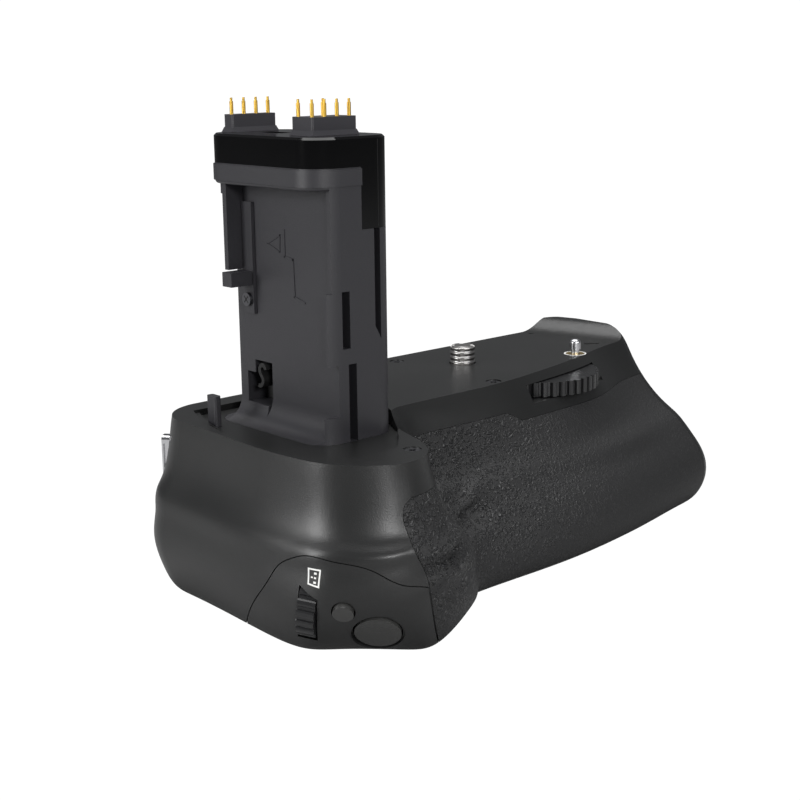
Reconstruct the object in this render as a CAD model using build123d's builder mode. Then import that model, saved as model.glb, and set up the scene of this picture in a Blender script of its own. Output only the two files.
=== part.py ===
from build123d import *
from math import acos, atan2, cos, degrees, hypot, pi, radians, sin, tan
import os

os.makedirs("parts", exist_ok=True)

# Camera battery grip, in millimetres. The origin is on the attachment screw's axis, in the plane
# of the deck that meets the camera. +X runs to the battery magazine's end, -Y to the lens side, +Z up.

# Reaches of the body from the attachment screw's axis
base_height = 42.0
near_reach = 89.8
far_reach = 58.8
back_reach = 19.5
grip_reach = 61.5
flank_reach = 54.5
front_reach = 46.6
near_corner = 12.5
far_corner = 7.8
far_back_corner = 6.0
side_lean = 1.3
mid_station = 20.0
front_station = 5.0
wheel_station = 28.0
neck_fillet = 10.0
waist_slope = 0.06

# Running and seating clearances
running_gap = 0.05
slide_gap = 0.25
seam_gap = 0.2
seat_gap = 0.03
button_gap = 0.3
skin_gap = 0.1
overrun = 1.0
reach_out = 60.0

# Deck and the raised lip at its far end
lip_angle = 15.0
lip_start = 44.5
lip_crest = 52.6
lip_height = 3.1
lip_fall = 1.6
lip_end = 61.0
lip_slope = -0.5
split_drop = 9.0
rim_drop = 2.0
shell_partition = 47.0
shell_shoulder = 24.0
shell_waist = 30.5
shell_flank = 50.6
slot_length = 4.2
slot_width = 1.5
slot_depth = 3.0
slot_places = ((43.2, 14.2), (42.5, -7.2))
slot_heading = -38.0

# Recess round the tower's foot
recess_drop = 3.4
recess_near = 83.0
recess_back = 12.5
recess_front = 45.0
recess_turn = 63.0
recess_side = 56.5
recess_shoulder = 38.0
recess_throat = 52.0
recess_neck = 32.5
recess_radius = 5.0
ledge_width = 1.4
ledge_height = 0.8
slit_inset = 0.25
slit_width = 0.8
slit_depth = 1.0
slit_places = ((-80.2, -3.4), (-82.4, -22.7), (-81.1, -35.7))
slit_lengths = (8.6, 10.6, 8.7)

# Rubber skins
rubber_thickness = 1.6
rubber_low = 1.8
rubber_top = 6.6
rubber_step = 9.0
step_start = 12.0
step_end = 7.5
step_round = 1.3
rubber_far = 54.0
rubber_behind = 12.0
corner_low = 55.0
corner_high = 110.0
cover_inner = 74.0
cover_width = 46.0
cover_height = 22.0
corner_rubber_top = 9.0
thumb_near = 74.5
thumb_far = 53.0
thumb_top = 8.0
thumb_bottom = 25.0
thumb_radius = 6.0

# Tower that fills the camera's battery chamber
tower_centre = (-60.45, -10.7)
tower_thickness = 22.5
tower_width = 39.4
tower_radius = 6.3
tower_height = 61.4
cap_height = 6.3
cap_bevel = 0.5
collar_height = 4.6
collar_lift = 0.8
collar_band = 3.5
collar_proud = 0.35
collar_round = 0.7
panel_bottom = 42.0
panel_width = 10.1
panel_thickness = 1.3
door_floor = 5.3
door_back = 3.9
edge_upper = 1.2
edge_lower = 2.2
edge_width = 1.5
edge_jog = 29.0
edge_foot = 13.6
flange_place = 1.9
flange_thickness = 1.4
flange_reach = 4.6
flange_foot = 31.4
lug_height = 2.3
lug_reach = 3.7
lug_thickness = 1.8
arm_height = 3.2
arm_reach = 6.5
arm_width = 3.4
foot_height = 2.2
foot_flare = 5.0
foot_slope = -0.12
side_slot_near = 6.5
side_slot_far = 8.6
side_slot_low = 17.0
side_slot_high = 29.3
side_slot_depth = 5.0
lower_groove_near = 8.0
lower_groove_far = 10.2
lower_groove_depth = 3.4
deep_groove_near = 15.7
deep_groove_far = 17.4
deep_groove_low = 18.0
deep_groove_depth = 9.0
groove_bevel = 3.0
clip_window_back = 2.4
clip_window_top = 10.8
clip_window_width = 9.3
clip_window_height = 12.4
clip_window_depth = 6.0
clip_plate = 0.9
hook_inset = 4.3
hook_width = 2.7
hook_height = 4.8
hook_proud = 0.3
strip_width = 3.8
strip_low = 21.5
strip_high = 46.5
strip_thickness = 0.8
strip_notch = 3.2
strip_middle = -0.1
tower_screw_length = 4.0
tower_screw_head = 1.5

# Contact blocks and pins on the cap
block_inset = 4.7
block_length = 12.0
block_height = 3.9
power_block_front = 3.9
power_block_width = 3.3
signal_block_front = -24.2
signal_block_width = 7.0
block_flange = 0.45
flange_height = 1.1
pin_pitch = 3.35
power_pins = 4
signal_pins = 4
rear_signal_pins = 2
signal_front_inset = 1.3
signal_row_gap = 4.6
pin_radius = 0.42
pin_tip_radius = 0.28
pin_tip_length = 0.8
pin_standing = 3.6
pin_travel = 1.0
pin_buried = 6.0
cap_pocket_width = 3.4
cap_pocket_length = 8.0
cap_pocket_depth = 1.6

# Thumbwheel that turns the attachment screw
screw_radius = 3.175
screw_standing = 4.6
screw_neck = 2.7
neck_height = 0.6
screw_collar = 3.4
screw_stud = 2.2
screw_slot_width = 1.0
screw_slot_depth = 0.8
screw_slots = 4
screw_bevel = 0.4
slot_turn = 45.0
gear_module = 1.0
pinion_teeth = 16
wheel_teeth = 22
wheel_turn = -38.0
gear_width = 2.6
gear_backlash = 0.3
pressure_angle = 20.0
gear_root_share = 1.25
gear_tip_share = 0.95
flank_shares = (0.0, 0.35, 0.7, 1.0)
wheel_radius = 16.4
wheel_width = 3.6
wheel_ribs = 42
rib_depth = 0.8
rib_shares = ((-0.38, 1), (-0.3, 0.3), (-0.15, 0), (0.15, 0), (0.3, 0.3), (0.38, 1))
wheel_top = 2.3
wheel_window = 16.4
window_depth = 8.0
wheel_room = 0.3
wheel_clearance = 0.6
deck_skin = 2.0
axle_radius = 2.0
pivot_radius = 1.5
pivot_length = 3.0
gear_room = 0.4
axle_top = 1.0
axle_bottom = 12.0

# Locating pin, deck screws and socket
locating_pin_place = (29.3, -12.8)
pin_stem_radius = 1.15
pin_head_radius = 1.5
pin_head_length = 2.6
pin_head_round = 1.0
locating_pin_height = 3.9
pin_root = 1.6
washer_radius = 2.5
washer_thickness = 0.35
deck_screw_places = ((-10.0, -21.0), (-10.7, 13.5))
shell_screw_place = (-61.5, -47.8)
base_screw_places = ((-36.0, -34.0), (42.0, -29.0), (-55.5, -41.0), (-79.0, 7.0))
screw_head_radius = 1.9
screw_head_height = 1.2
screw_shank_radius = 0.95
screw_length = 7.0
screw_sink = 0.25
cross_width = 0.45
cross_length = 2.0
cross_depth = 0.6
socket_place = (0.0, -33.0)
socket_radius = 5.0
socket_flange_radius = 6.6
socket_flange = 1.0
socket_bore = 2.75
socket_length = 7.0

# Battery magazine
battery_length = 57.4
battery_width = 38.8
battery_height = 21.0
tray_floor = 1.2
tray_side = 1.1
tray_side_height = 14.0
tray_far_wall = 1.4
tray_divider = 1.6
tray_near_wall = 1.2
tray_back = 17.3
tray_drop = 39.6
chamber_bevel = 2.6
chamber_room = 0.5
chamber_wall = 1.5
chamber_end_room = 2.0
finger_cut = 9.0
finger_floor = 4.0
cap_face = 5.8
cap_plate_low = 1.4
cap_plate_top = 14.8
cap_plate_front = 26.5
cap_plate_back = 17.9
cap_plate_shoulder = 24.0
cap_plate_slope = 18.5
magazine_travel = 115.0
knob_place = (-3.0, -27.7)
knob_radius = 7.6
knob_recess = 2.7
knob_disc = 1.2
knob_bar = 3.0
knob_bar_length = 14.2
latch_reach = 14.3
latch_width = 4.0
latch_thickness = 1.3
latch_notch = 7.0
spindle_radius = 1.6
contact_blades = 5
blade_pitch = 4.0
blade_width = 1.6
blade_height = 6.0
blade_thickness = 0.6
blade_low = 7.0

# Controls at the hand grip's corner
shutter_aim = (-72.0, -48.9, -32.6)
shutter_heading = (-0.59, -0.57, -0.57)
shutter_radius = 4.85
shutter_thickness = 2.6
shutter_dish = 0.35
dish_radius = 30.0
shutter_travel = 1.0
shutter_height = -0.1
button_height = 0.6
function_aim = (-75.0, -43.4, -24.8)
function_heading = (-0.66, -0.58, -0.48)
function_radius = 2.2
function_travel = 0.5
dial_aim = (-70.0, -33.6, -25.6)
dial_heading = (-0.80, -0.47, -0.38)
dial_tilt = -8.0
dial_radius = 7.0
dial_width = 3.9
dial_teeth = 18
dial_tooth_depth = 0.55
dial_proud = 1.8
dial_clearance = 0.4
dial_axle_radius = 1.0
dial_axle_length = 9.0
switch_size = 4.0
switch_height = 2.0
button_stem = 3.2
button_skirt = 1.9
button_mouth = 4.0
stem_radius = 1.5
step_width = 0.35
step_depth = 0.7

# Button on the back of the hand grip
rear_button_place = (-73.2, -30.5)
rear_button_radius = 2.5
rear_button_proud = 0.6
rear_travel = 0.5

# Pieces inside
board_thickness = 1.2
board_width = 30.0
board_height = 18.0
board_standoff = 1.0
board_back = 20.0
board_low = 3.5
board_inset = 4.0

# Strap lug and standing tab
lug_aim = (-72.1, 7.0, -12.4)
lug_heading = (-0.63, 0.78, 0)
strap_lug_height = 9.6
strap_lug_width = 3.2
strap_lug_proud = 1.2
strap_lug_corner = 0.9
strap_bar = 0.4
strap_gap_height = 6.0
tab_place = (-76.4, 2.0)
tab_width = 3.4
tab_depth = 1.8
tab_height = 7.0
tab_root = 2.0
tab_round = 0.6
lug_root = 2.0

# Shares of the reaches at each level of the body, from the lip down to the underside:
# drop, near side, grip, grip corner, flank, waist, middle, front, wheel, far front, far end, back
level_shares = (
    (-0.076, 0.916, 0.868, 0.000, 1.000, 0.472, 0.472, 0.408, 0.300, 0.172, 0.947, 0.897),
    (0.000, 0.932, 0.881, 0.000, 0.990, 0.521, 0.515, 0.455, 0.343, 0.225, 0.973, 0.928),
    (0.157, 0.943, 0.898, 0.000, 0.980, 0.599, 0.597, 0.562, 0.483, 0.300, 0.990, 0.964),
    (0.286, 0.952, 0.920, 0.000, 0.965, 0.635, 0.644, 0.633, 0.558, 0.397, 0.997, 0.985),
    (0.405, 0.972, 0.956, 0.000, 0.935, 0.708, 0.730, 0.719, 0.665, 0.541, 1.000, 1.000),
    (0.524, 0.992, 0.985, 0.000, 0.900, 0.826, 0.837, 0.822, 0.783, 0.691, 1.000, 1.000),
    (0.667, 1.000, 1.000, 0.010, 0.862, 0.933, 0.951, 0.940, 0.891, 0.805, 1.000, 1.000),
    (0.810, 0.992, 0.991, 0.033, 0.846, 0.994, 1.000, 0.979, 0.918, 0.826, 1.000, 0.995),
    (0.929, 0.974, 0.963, 0.052, 0.872, 0.976, 0.974, 0.949, 0.880, 0.783, 0.990, 0.959),
    (0.983, 0.963, 0.942, 0.062, 0.910, 0.927, 0.923, 0.901, 0.828, 0.738, 0.971, 0.903),
    (1.000, 0.956, 0.927, 0.065, 0.938, 0.897, 0.893, 0.871, 0.794, 0.708, 0.954, 0.851),
)

# Shares of the hand grip's width and reach along its outline, from its side round to its flank
grip_line_shares = ((0.0, 0.48), (0.03, 0.70), (0.155, 0.875), (0.37, 0.987), (0.60, 1.0))
corner_pull_shares = (0.0, 0.0, 0.7, 0.55, 0.0)
flank_line_shares = ((-0.55, 0.0), (-0.15, 0.33), (0.08, 0.66), (0.40, 0.88))
flank_top_share = 0.925
corner_start_share = 0.9
corner_turn_shares = (0.29, 0.27)

# Places of the outline's points along its grip and front curves, the same at each level, as shares
grip_place_shares = (0.0, 0.29, 0.43, 0.56, 0.64, 0.72, 0.80, 0.86, 0.90, 0.94, 1.0)
front_place_shares = (0.0, 0.20, 0.48, 0.71, 0.92, 0.96, 1.0)

# Shares of the control cover's width and height along its seam, seen from the grip's corner
cover_seam_shares = (
    (-1.00, 0.00), (-0.92, 0.43), (-0.85, 0.67), (-0.79, 0.855), (-0.74, 0.93),
    (-0.66, 1.00), (-0.55, 0.98), (-0.42, 0.94), (-0.35, 0.88), (-0.23, 0.75), (-0.17, 0.727),
    (-0.13, 0.705),
)
rubber_edge_shares = ((-0.124, 0.705), (-0.165, 0.96), (-0.21, 1.16), (-0.24, 1.38), (-0.232, 1.45))
cover_end_share = -0.09
rubber_low_share = -0.095
rubber_top_share = -0.205
rubber_side_share = 0.60

# Shares of the recess's reach to the near side and to the front, along its near edge
recess_edge_shares = (
    (0.904, -0.278), (0.942, -0.111), (0.978, 0.133), (0.995, 0.387), (1.0, 0.611),
    (0.988, 0.767), (0.946, 0.911), (0.880, 0.996),
)

# Shares of the clip's window, from its far top corner, and of the hook's curl in it
clip_window_shares = (
    (0.0, 0.81), (0.0, 0.24), (0.32, 0.24), (0.32, 0.0), (1.0, 0.0), (1.0, 0.63), (0.88, 1.0), (0.82, 0.82),
)
hook_shares = ((1.0, 0.2), (0.52, 0.0), (0.18, 0.26), (0.4, 0.5), (0.63, 0.7), (0.46, 0.95), (0.0, 1.0))

corner_plane = Plane(origin=(0, 0, 0), x_dir=(cos(pi / 4), -sin(pi / 4), 0), z_dir=(-1, -1, 0))
front_plane = Plane.XZ
side_plane = Plane.YZ


def slab(x, y, z, mode=Mode.ADD):
    """Box between a low and a high face along each axis."""
    with Locations(((x[0] + x[1]) / 2, (y[0] + y[1]) / 2, (z[0] + z[1]) / 2)):
        Box(x[1] - x[0], y[1] - y[0], z[1] - z[0], mode=mode)


def rod(plane, radius, length, mode=Mode.ADD):
    """Cylinder that stands on a plane, along its normal."""
    with BuildSketch(plane) as outline:
        Circle(radius)
    extrude(outline.sketch, amount=length, mode=mode)


def body_section(row, inset):
    """Closed outline of the body at one level, with its sides moved in by inset."""
    drop, near, grip, corner, flank, waist, middle, front, wheel, far_front, far, back = row
    x_near = inset - near_reach * near
    x_flank = -flank_reach * flank - inset
    x_far = far_reach * far - inset
    y_grip = inset - grip_reach * grip
    y_waist = inset - front_reach * waist
    y_far = inset - front_reach * far_front
    y_back = back_reach * back - inset
    near_radius = near_corner - inset
    back_radius_far = far_back_corner - inset
    front_radius = far_corner - inset
    width = x_flank - x_near
    pull = grip_reach * corner
    side = (x_near + side_lean, y_back - near_radius)
    flank_top = y_grip * flank_top_share
    grip_points = [side]
    for (across, along), pulled in zip(grip_line_shares, corner_pull_shares):
        grip_points.append((x_near + across * width + pulled * pull, along * y_grip + pulled * pull))
    for across, along in flank_line_shares:
        grip_points.append((x_flank + across * neck_fillet, flank_top + along * (y_waist - flank_top)))
    waist_point = (x_flank + neck_fillet, y_waist)
    grip_points.append(waist_point)
    far_front_end = (x_far, y_far + corner_start_share * front_radius)
    front_points = [
        waist_point,
        (-mid_station, inset - front_reach * middle),
        (front_station, inset - front_reach * front),
        (wheel_station, inset - front_reach * wheel),
        (x_far - front_radius, y_far),
        (x_far - corner_turn_shares[0] * front_radius, y_far + corner_turn_shares[1] * front_radius),
        far_front_end,
    ]
    with BuildSketch(Plane.XY.offset(-drop * base_height)) as outline:
        with BuildLine():
            Line((x_far - back_radius_far, y_back), (side[0] + near_radius, y_back))
            RadiusArc((side[0] + near_radius, y_back), side, -near_radius)
            add(Edge.make_spline(grip_points, ((0, -1), (1, waist_slope)), parameters=grip_place_shares))
            add(Edge.make_spline(front_points, ((1, waist_slope), (0, 1)), parameters=front_place_shares))
            Line(far_front_end, (x_far, y_back - back_radius_far))
            RadiusArc((x_far, y_back - back_radius_far), (x_far - back_radius_far, y_back), -back_radius_far)
        make_face()
    return outline.sketch


def body_form(inset=0.0):
    """Outer form of the body, lofted through its levels."""
    with BuildPart() as form:
        for row in level_shares:
            add(body_section(row, inset))
        loft()
    return form.part


def above_deck():
    """Everything above the deck and the lip's crest."""
    across = (cos(radians(lip_angle)), sin(radians(lip_angle)), 0)
    plane = Plane(origin=(0, 0, 0), x_dir=across, z_dir=(across[1], -across[0], 0))
    crest = (lip_crest, lip_height)
    with BuildPart() as sky:
        with BuildSketch(plane):
            with BuildLine():
                Line((-near_reach - reach_out, 0), (lip_start, 0))
                Spline((lip_start, 0), crest, (lip_end, lip_fall), tangents=((1, 0), (1, lip_slope)))
                Line((lip_end, lip_fall), (lip_end + reach_out, lip_fall))
                Line((lip_end + reach_out, lip_fall), (lip_end + reach_out, reach_out))
                Line((lip_end + reach_out, reach_out), (-near_reach - reach_out, reach_out))
                Line((-near_reach - reach_out, reach_out), (-near_reach - reach_out, 0))
            make_face()
        extrude(amount=near_reach + reach_out, both=True)
    return sky.part


def near_region(gap):
    """The end shell's share of the body: everything to the near side of its seam."""
    side = gap - shell_partition
    flank = gap - shell_flank
    far_out = near_reach + reach_out
    with BuildPart() as region:
        with BuildSketch(Plane.XY.offset(-base_height - overrun)):
            with BuildLine():
                Polyline(
                    (side, back_reach + overrun), (side, -shell_shoulder), (flank, -shell_waist),
                    (flank, -grip_reach - reach_out), (-far_out, -grip_reach - reach_out),
                    (-far_out, back_reach + overrun), close=True,
                )
            make_face()
        extrude(amount=base_height + reach_out)
    return region.part


def moved_aside(points, gap):
    """Points of an open line, each moved to the left of its course by a gap."""
    moved = []
    for place, point in enumerate(points):
        before = points[max(place - 1, 0)]
        after = points[min(place + 1, len(points) - 1)]
        along = (after[0] - before[0], after[1] - before[1])
        length = hypot(*along)
        moved.append((point[0] - gap * along[1] / length, point[1] + gap * along[0] / length))
    return moved


def seen_from_corner(shares, gap):
    """Points on the plane that faces the grip's corner, moved aside by a gap."""
    points = [(across * cover_width, along * cover_height - base_height) for across, along in shares]
    return moved_aside(points, gap)


def cover_region(gap):
    """The control cover's share of the body, below its seam at the grip's corner."""
    points = seen_from_corner(cover_seam_shares, gap)
    left = points[0]
    right = points[-1]
    low = -base_height - overrun
    with BuildPart() as region:
        with BuildSketch(corner_plane.offset(cover_inner - gap)) as seam:
            with BuildLine():
                Spline(*points)
                Polyline(right, (gap + cover_end_share * cover_width, low), (left[0] - overrun, low), left)
            make_face()
        extrude(amount=corner_high - cover_inner)
    return region.part


def corner_rubber_region(gap):
    """Where the rubber wraps the hand grip's flank."""
    points = seen_from_corner(rubber_edge_shares, gap)
    top = gap - corner_rubber_top
    low = rubber_low - base_height - gap
    foot = (seam_gap - gap + rubber_low_share * cover_width, low)
    side = rubber_side_share * cover_width
    with BuildPart() as region:
        with BuildSketch(corner_plane.offset(corner_low)):
            with BuildLine():
                Line(foot, points[0])
                Spline(*points)
                Polyline(points[-1], (rubber_top_share * cover_width, top), (side, top), (side, low), foot)
            make_face()
        extrude(amount=corner_high - corner_low)
    return region.part


def front_rubber_region(gap):
    """Where the rubber covers the front face, with the step beside the thumbwheel."""
    low = rubber_low - base_height - gap
    near = shell_flank - seam_gap + gap
    with BuildPart() as region:
        with BuildSketch(front_plane.offset(rubber_behind)) as outline:
            with BuildLine():
                Polyline(
                    (-near, low), (rubber_far + gap, low), (rubber_far + gap, gap - rubber_step),
                    (-step_end, gap - rubber_step), (-step_start, gap - rubber_top),
                    (-near, gap - rubber_top), close=True,
                )
            make_face()
            fillet([v for v in outline.vertices() if -step_start - overrun < v.X < overrun - step_end],
                   step_round)
        extrude(amount=grip_reach + overrun)
    return region.part


def rubber_region(gap):
    """Both stretches of the front rubber."""
    with BuildPart() as region:
        add(front_rubber_region(gap))
        add(corner_rubber_region(gap))
    return region.part


def thumb_region(gap):
    """Where the thumb rests on the back of the hand grip."""
    with BuildPart() as region:
        with BuildSketch(front_plane.offset(-rubber_behind)):
            with Locations((-(thumb_near + thumb_far) / 2, -(thumb_top + thumb_bottom) / 2)):
                RectangleRounded(
                    thumb_near - thumb_far + 2 * gap, thumb_bottom - thumb_top + 2 * gap, thumb_radius + gap
                )
        extrude(amount=-back_reach)
    return region.part


def skin_point(origin, heading):
    """Where a line leaves the body's outer form."""
    line = Axis(origin, heading)
    hits = outer.shell().find_intersection_points(line)
    ahead = [point for point, normal in hits if (point - line.position).dot(line.direction) > 0]
    return max(ahead, key=lambda point: (point - line.position).dot(line.direction))


def control_plane(origin, heading):
    """Plane across a control's axis, where the axis leaves the body."""
    level = Vector(heading[1], -heading[0], 0)
    return Plane(origin=skin_point(origin, heading), x_dir=-level, z_dir=heading)


def screw(place, top, up, gap=0.0, mode=Mode.ADD):
    """Countersunk screw with its head at a height, or the hole for it with a gap all round."""
    turn = Plane(origin=(place[0], place[1], top), x_dir=(1, 0, 0), z_dir=(0, 0, 1 if up else -1)).location
    shank = screw_length - screw_head_height + gap
    with Locations(turn * Location((0, 0, -screw_head_height / 2))):
        Cone(screw_shank_radius + gap, screw_head_radius + gap, screw_head_height, mode=mode)
    with Locations(turn * Location((0, 0, -screw_head_height - shank / 2))):
        Cylinder(screw_shank_radius + gap, shank, mode=mode)
    if mode == Mode.SUBTRACT:
        with Locations(turn * Location((0, 0, overrun / 2))):
            Cylinder(screw_head_radius + gap, overrun, mode=mode)
    else:
        for turned in (0, 90):
            with Locations(turn * Location((0, 0, -cross_depth / 2), (0, 0, turned))):
                Box(cross_length, cross_width, cross_depth, mode=Mode.SUBTRACT)


def polar(radius, angle):
    """Point at a radius and an angle in radians."""
    return (radius * cos(angle), radius * sin(angle))


def gear_points(teeth, phase):
    """Involute gear outline, with one tooth centred on the phase angle in degrees."""
    pitch_radius = gear_module * teeth / 2
    pressure = radians(pressure_angle)
    base_radius = pitch_radius * cos(pressure)
    root = pitch_radius - gear_root_share * gear_module
    tip = pitch_radius + gear_tip_share * gear_module
    half_tooth = pi / (2 * teeth) - gear_backlash / (4 * pitch_radius) + tan(pressure) - pressure
    start = max(base_radius, root)
    radii = [start + (tip - start) * share for share in flank_shares]
    flank = []
    for radius in radii:
        roll = acos(min(1.0, base_radius / radius))
        flank.append((radius, half_tooth - tan(roll) + roll))
    points = []
    for tooth in range(teeth):
        centre = radians(phase) + 2 * pi * tooth / teeth
        points.append(polar(root, centre - flank[0][1]))
        points.extend(polar(radius, centre - angle) for radius, angle in flank)
        points.extend(polar(radius, centre + angle) for radius, angle in reversed(flank))
        points.append(polar(root, centre + flank[0][1]))
    return points


def rib_points(radius, depth, ribs):
    """Outline of a wheel with rounded ribs round its rim."""
    points = []
    for rib in range(ribs):
        for share, low in rib_shares:
            points.append(polar(radius - low * depth, 2 * pi * (rib + share) / ribs))
    return points


def tower_outline(grow=0.0):
    """Section of the tower, moved out by an amount."""
    with Locations(tower_centre):
        RectangleRounded(tower_thickness + 2 * grow, tower_width + 2 * grow, tower_radius + grow)


def recess_edge(inset):
    """Points of the recess's near edge, moved in by an amount."""
    points = [(-recess_near * across, -recess_front * along) for across, along in recess_edge_shares]
    return moved_aside(points, inset)


def edge_band(height, low, high):
    """Band between two lines along the recess's near edge, at a height."""
    outside = recess_edge(low)
    inside = recess_edge(high)
    with BuildSketch(Plane.XY.offset(height)) as band:
        with BuildLine():
            Spline(*outside)
            Line(outside[-1], inside[-1])
            Spline(*inside)
            Line(outside[0], inside[0])
        make_face()
    return band.sketch


def chamber_section(low, high):
    """Cuts the magazine's chamber between two places along X."""
    front = tray_back - tray_width - slide_gap
    back = tray_back + slide_gap
    floor = -tray_drop - seam_gap
    roof = floor + seam_gap + tray_floor + battery_height + chamber_room
    with BuildSketch(Plane.YZ.offset(low)) as outline:
        with BuildLine():
            Polyline((front, floor), (back, floor), (back, roof), (front + chamber_bevel, roof),
                     (front, roof - chamber_bevel), close=True)
        make_face()
    extrude(outline.sketch, amount=high - low, mode=Mode.SUBTRACT)


def cap_outline(low, high, gap, mode):
    """Outline of the magazine's cap, seen from the far end, between two places along X."""
    bottom = cap_plate_low - base_height
    with BuildSketch(Plane.YZ.offset(low)) as outline:
        with BuildLine():
            Polyline(
                (-cap_plate_front, bottom), (-cap_plate_front, -cap_plate_shoulder),
                (-cap_plate_slope, -cap_plate_top), (cap_plate_back, -cap_plate_top),
                (cap_plate_back, bottom), close=True,
            )
        make_face()
        if gap:
            offset(amount=gap, kind=Kind.INTERSECTION)
    extrude(outline.sketch, amount=high - low, mode=mode)


def latch_sweep(low, high):
    """Room for the latch's quarter turn, between two places along X."""
    room = latch_width / 2 + button_gap
    middle = latch_reach - room
    with BuildSketch(Plane.YZ.offset(low)) as outline:
        with Locations(knob_place):
            Circle(latch_reach + button_gap)
        with Locations((knob_place[0] + middle, knob_place[1] + middle)):
            Rectangle(2 * latch_reach, 2 * latch_reach, mode=Mode.INTERSECT)
    extrude(outline.sketch, amount=high - low, mode=Mode.SUBTRACT)


def button_well(plane, radius, travel):
    """Well, guide bore and switch pocket for a sprung button, cut from the surface inward."""
    well = button_skirt + travel + button_gap
    switch_top = button_skirt + button_stem + travel + button_gap
    rod(plane.offset(button_mouth), radius + button_gap, -button_mouth - well, Mode.SUBTRACT)
    rod(plane.offset(-well), stem_radius + running_gap, well - switch_top, Mode.SUBTRACT)
    with BuildSketch(plane.offset(-switch_top)) as outline:
        Rectangle(switch_size + 2 * seat_gap, switch_size + 2 * seat_gap)
    extrude(outline.sketch, amount=-switch_height - seat_gap, mode=Mode.SUBTRACT)


def sprung_button(plane, radius, proud):
    """Button with its guide stem."""
    rod(plane.offset(proud), radius, -proud - button_skirt)
    rod(plane.offset(-button_skirt), stem_radius, -button_stem)


def switch_block(plane, travel):
    """Switch that a button's stem presses."""
    with BuildSketch(plane.offset(-button_skirt - button_stem - travel - button_gap)) as outline:
        Rectangle(switch_size, switch_size)
    extrude(outline.sketch, amount=-switch_height)


def save(piece, name):
    """Names a sub-part and writes its file."""
    piece.part.label = name
    export_step(piece.part, f"parts/{name}.step")



outer = body_form()
under_rubber = body_form(rubber_thickness)
rubber_floor = body_form(rubber_thickness + skin_gap)
deck_air = above_deck()
tower_near = tower_centre[0] - tower_thickness / 2
tower_far = tower_centre[0] + tower_thickness / 2
tower_front = tower_centre[1] - tower_width / 2
tower_back = tower_centre[1] + tower_width / 2
tower_foot = base_height - cap_plate_low - tray_floor - battery_height - chamber_room - chamber_wall - overrun
door_face = tower_near + door_floor
cap_bottom = tower_height - cap_height
collar_bottom = cap_bottom - collar_height
tray_width = battery_width + 2 * tray_side
tray_front = tray_back - tray_width
cap_inner = far_reach - cap_face
tray_far = cap_inner - seam_gap
tray_near = tray_far - tray_far_wall - 2 * battery_length - tray_divider - tray_near_wall
chamber_end = tray_near - chamber_end_room
wheel_centre = polar(gear_module * (pinion_teeth + wheel_teeth) / 2, radians(wheel_turn))
wheel_bottom = wheel_top + wheel_width
gear_bottom = wheel_bottom + button_gap + gear_width
lower_top = -split_drop - seam_gap
whole_x = (-near_reach - overrun, far_reach + overrun)
whole_y = (-grip_reach - overrun, back_reach + overrun)
shutter_plane = control_plane(shutter_aim, shutter_heading)
function_plane = control_plane(function_aim, function_heading)
dial_plane = Plane(control_plane(dial_aim, dial_heading).location * Rotation(0, 0, dial_tilt))
rear_plane = control_plane((rear_button_place[0], 0, rear_button_place[1]), (0, 1, 0))
dial_middle = dial_plane.offset(dial_proud - dial_radius).origin
dial_axis_plane = Plane(origin=dial_middle, z_dir=dial_plane.x_dir)

# Room for the rubber on the housings under it
with BuildPart() as rubber_seat:
    add(rubber_region(skin_gap))
    add(rubber_floor, mode=Mode.SUBTRACT)

# Rubber round the front and the hand grip's flank
with BuildPart() as front_grip_rubber:
    add(outer)
    add(under_rubber, mode=Mode.SUBTRACT)
    add(rubber_region(0), mode=Mode.INTERSECT)
save(front_grip_rubber, "front_grip_rubber")

# Rubber where the thumb rests
with BuildPart() as thumb_rubber:
    add(outer)
    add(under_rubber, mode=Mode.SUBTRACT)
    add(thumb_region(0), mode=Mode.INTERSECT)
save(thumb_rubber, "thumb_rubber")

with BuildPart() as thumb_seat:
    add(thumb_region(skin_gap))
    add(rubber_floor, mode=Mode.SUBTRACT)

# Cover that carries the shutter button, the function button and the dial
with BuildPart() as control_cover:
    add(outer)
    add(cover_region(0), mode=Mode.INTERSECT)
    rod(shutter_plane.offset(button_mouth), shutter_radius + step_width + button_gap,
        -button_mouth - step_depth, Mode.SUBTRACT)
    button_well(shutter_plane, shutter_radius, shutter_travel)
    button_well(function_plane, function_radius, function_travel)
    with BuildSketch(dial_axis_plane):
        Circle(dial_radius + dial_clearance)
    extrude(amount=dial_width / 2 + button_gap, both=True, mode=Mode.SUBTRACT)
    with BuildSketch(dial_axis_plane):
        Circle(dial_axle_radius + seat_gap)
    extrude(amount=dial_axle_length / 2 + seat_gap, both=True, mode=Mode.SUBTRACT)
save(control_cover, "control_cover")

with BuildPart() as shutter_button:
    sprung_button(shutter_plane, shutter_radius, shutter_height)
    with Locations(shutter_plane.offset(shutter_height + dish_radius - shutter_dish).location):
        Sphere(dish_radius, mode=Mode.SUBTRACT)
save(shutter_button, "shutter_button")

with BuildPart() as shutter_switch:
    switch_block(shutter_plane, shutter_travel)
save(shutter_switch, "shutter_switch")

with BuildPart() as function_button:
    sprung_button(function_plane, function_radius, button_height)
save(function_button, "function_button")

with BuildPart() as function_switch:
    switch_block(function_plane, function_travel)
save(function_switch, "function_switch")

# Ribbed control dial and the axle it turns on
with BuildPart() as control_dial:
    with BuildSketch(dial_axis_plane):
        with BuildLine():
            Polyline(*rib_points(dial_radius, dial_tooth_depth, dial_teeth), close=True)
        make_face()
        Circle(dial_axle_radius + running_gap, mode=Mode.SUBTRACT)
    extrude(amount=dial_width / 2, both=True)
save(control_dial, "control_dial")

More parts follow.
